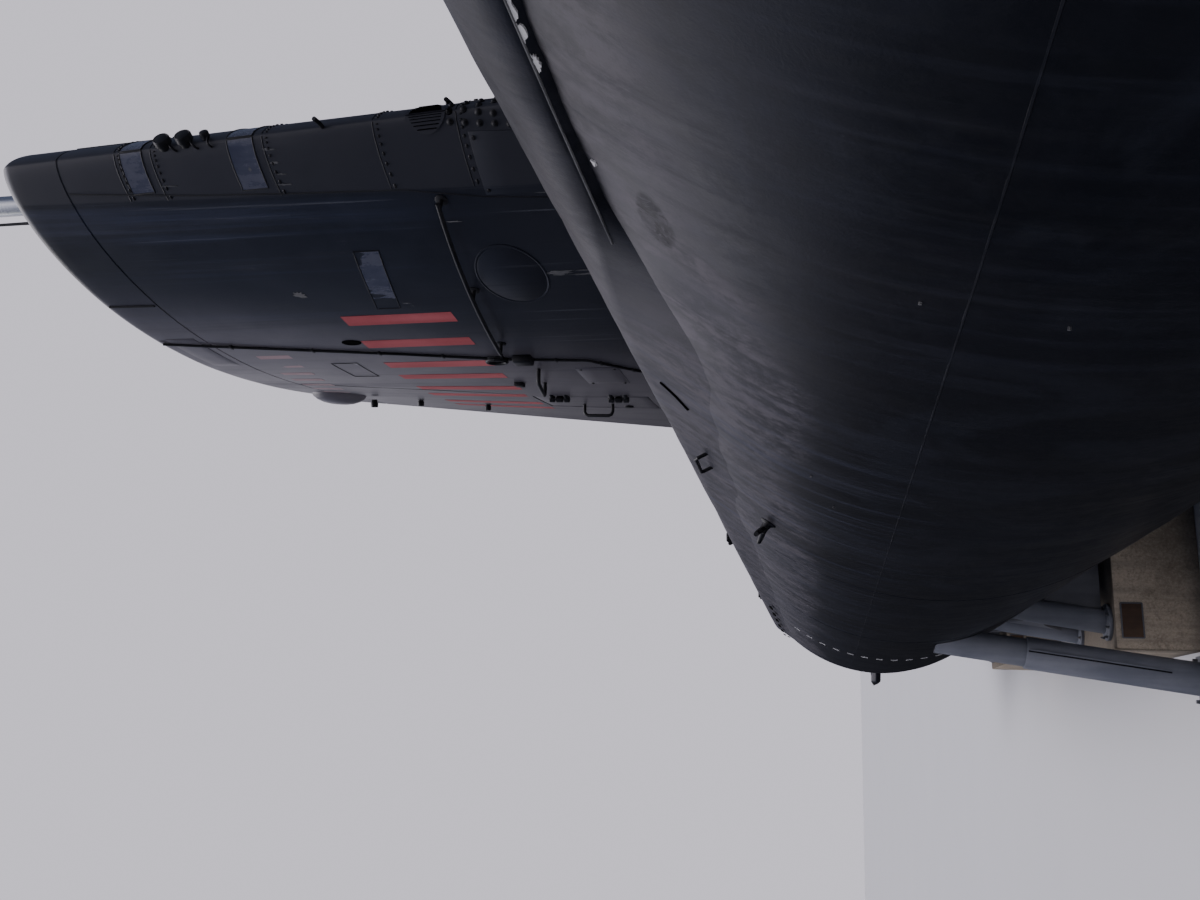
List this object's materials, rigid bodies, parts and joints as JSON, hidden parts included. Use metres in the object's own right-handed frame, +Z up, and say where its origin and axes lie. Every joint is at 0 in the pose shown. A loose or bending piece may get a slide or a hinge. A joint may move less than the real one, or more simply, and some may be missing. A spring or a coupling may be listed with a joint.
{
  "type": "half-scale museum model of a diesel-electric submarine on supports",
  "caption": "Half-scale diesel-electric submarine kept ashore: round dark hull, tall streamlined sail with hoisting masts, tail planes, rudders and propeller, on plinths, saddles and struts.",
  "frame": {"origin": "on the ground, under the centre of the boat's bounding box", "axes": "+X towards the bow, +Y to port, +Z up"},
  "size_m": [24.8, 3.62, 6.835],
  "materials": {
    "hull": "blue-black hull paint, streaked and salt-stained",
    "casing": "worn dark deck paint",
    "sail": "dark grey paint with vertical streaks and pale salt marks",
    "black": "black paint, semi-matt",
    "steelwork": "light grey paint on steel tube",
    "mast": "bare bright tube",
    "bronze": "dull bronze",
    "concrete": "cast concrete, weather-stained"
  },
  "bodies": {
    "boat": {"hull_tail": "hull", "hull_after": "hull", "hull_midbody": "hull", "hull_forward": "hull", "hull_bow": "hull", "sonar_dome": "black", "casing_forward": "casing", "casing_aft": "casing", "sail_tower": "sail", "sail_cap": "sail", "handrail_port": "black", "handrail_starboard": "black", "whip_antenna": "black", "cleat_port": "black", "cleat_starboard": "black", "plinth_middle": "concrete", "saddle_middle_port": "steelwork", "strut_middle_port": "steelwork", "saddle_middle_starboard": "steelwork", "strut_middle_starboard": "steelwork", "plinth_forward": "concrete", "saddle_forward_port": "steelwork", "strut_forward_port": "steelwork", "saddle_forward_starboard": "steelwork", "strut_forward_starboard": "steelwork", "plinth_aft": "concrete", "saddle_aft_port": "steelwork", "saddle_aft_starboard": "steelwork"},
    "propeller": {"propeller": "bronze"},
    "rudder_upper": {"rudder_upper": "hull"},
    "rudder_lower": {"rudder_lower": "hull"},
    "stern_plane_port": {"stern_plane_port": "hull"},
    "stern_plane_starboard": {"stern_plane_starboard": "hull"},
    "bow_plane_port": {"bow_plane_port": "hull"},
    "bow_plane_starboard": {"bow_plane_starboard": "hull"},
    "periscope_attack": {"periscope_attack": "mast"},
    "periscope_search": {"periscope_search": "black"},
    "radar_mast": {"radar_mast": "black"},
    "snorkel_mast": {"snorkel_mast": "black"},
    "antenna_mast": {"antenna_mast": "black"},
    "hatch_forward_lid": {"hatch_forward_lid": "casing"},
    "hatch_aft_lid": {"hatch_aft_lid": "casing"},
    "sail_door": {"sail_door": "sail"}
  },
  "joints": [
    {"name": "propeller_spin", "type": "hinge", "parent": "boat", "child": "propeller", "pos_m": [-11.4575, 0, 1.925], "axis": [1, 0, 0], "continuous": true},
    {"name": "rudder_upper_turn", "type": "hinge", "parent": "boat", "child": "rudder_upper", "pos_m": [-10.225, 0, 2.825], "axis": [0, 0, 1], "range_deg": [-35, 35]},
    {"name": "rudder_lower_turn", "type": "hinge", "parent": "boat", "child": "rudder_lower", "pos_m": [-10.225, 0, 1.075], "axis": [0, 0, 1], "range_deg": [-35, 35]},
    {"name": "stern_plane_port_tilt", "type": "hinge", "parent": "boat", "child": "stern_plane_port", "pos_m": [-10.225, 1, 1.925], "axis": [0, 1, 0], "range_deg": [-25, 25]},
    {"name": "stern_plane_starboard_tilt", "type": "hinge", "parent": "boat", "child": "stern_plane_starboard", "pos_m": [-10.225, -1, 1.925], "axis": [0, 1, 0], "range_deg": [-25, 25]},
    {"name": "bow_plane_port_tilt", "type": "hinge", "parent": "boat", "child": "bow_plane_port", "pos_m": [9.1, 1.3, 2.35], "axis": [0, 1, 0], "range_deg": [-25, 25]},
    {"name": "bow_plane_starboard_tilt", "type": "hinge", "parent": "boat", "child": "bow_plane_starboard", "pos_m": [9.1, -1.3, 2.35], "axis": [0, 1, 0], "range_deg": [-25, 25]},
    {"name": "hatch_forward_open", "type": "hinge", "parent": "boat", "child": "hatch_forward_lid", "pos_m": [6.98, 0, 3.49928], "axis": [0, 1, 0], "range_deg": [0, 100]},
    {"name": "hatch_aft_open", "type": "hinge", "parent": "boat", "child": "hatch_aft_lid", "pos_m": [-3.82, 0, 3.482], "axis": [0, 1, 0], "range_deg": [0, 100]},
    {"name": "sail_door_open", "type": "hinge", "parent": "boat", "child": "sail_door", "pos_m": [1.64, -0.28201, 3.625], "axis": [0, 0.0315, 0.9995], "range_deg": [0, 110]},
    {"name": "periscope_attack_hoist", "type": "slide", "parent": "boat", "child": "periscope_attack", "axis": [0, 0, 1], "range_m": [-0.6, 0.6]},
    {"name": "periscope_search_hoist", "type": "slide", "parent": "boat", "child": "periscope_search", "axis": [0, 0, 1], "range_m": [0, 1.2]},
    {"name": "radar_mast_hoist", "type": "slide", "parent": "boat", "child": "radar_mast", "axis": [0, 0, 1], "range_m": [0, 1.2]},
    {"name": "snorkel_mast_hoist", "type": "slide", "parent": "boat", "child": "snorkel_mast", "axis": [0, 0, 1], "range_m": [0, 1.2]},
    {"name": "antenna_mast_hoist", "type": "slide", "parent": "boat", "child": "antenna_mast", "axis": [0, 0, 1], "range_m": [0, 1.2]}
  ],
  "couplings": [
    {"joint": "rudder_lower_turn", "follows": "rudder_upper_turn", "ratio": 1},
    {"joint": "stern_plane_starboard_tilt", "follows": "stern_plane_port_tilt", "ratio": 1},
    {"joint": "bow_plane_starboard_tilt", "follows": "bow_plane_port_tilt", "ratio": 1}
  ]
}
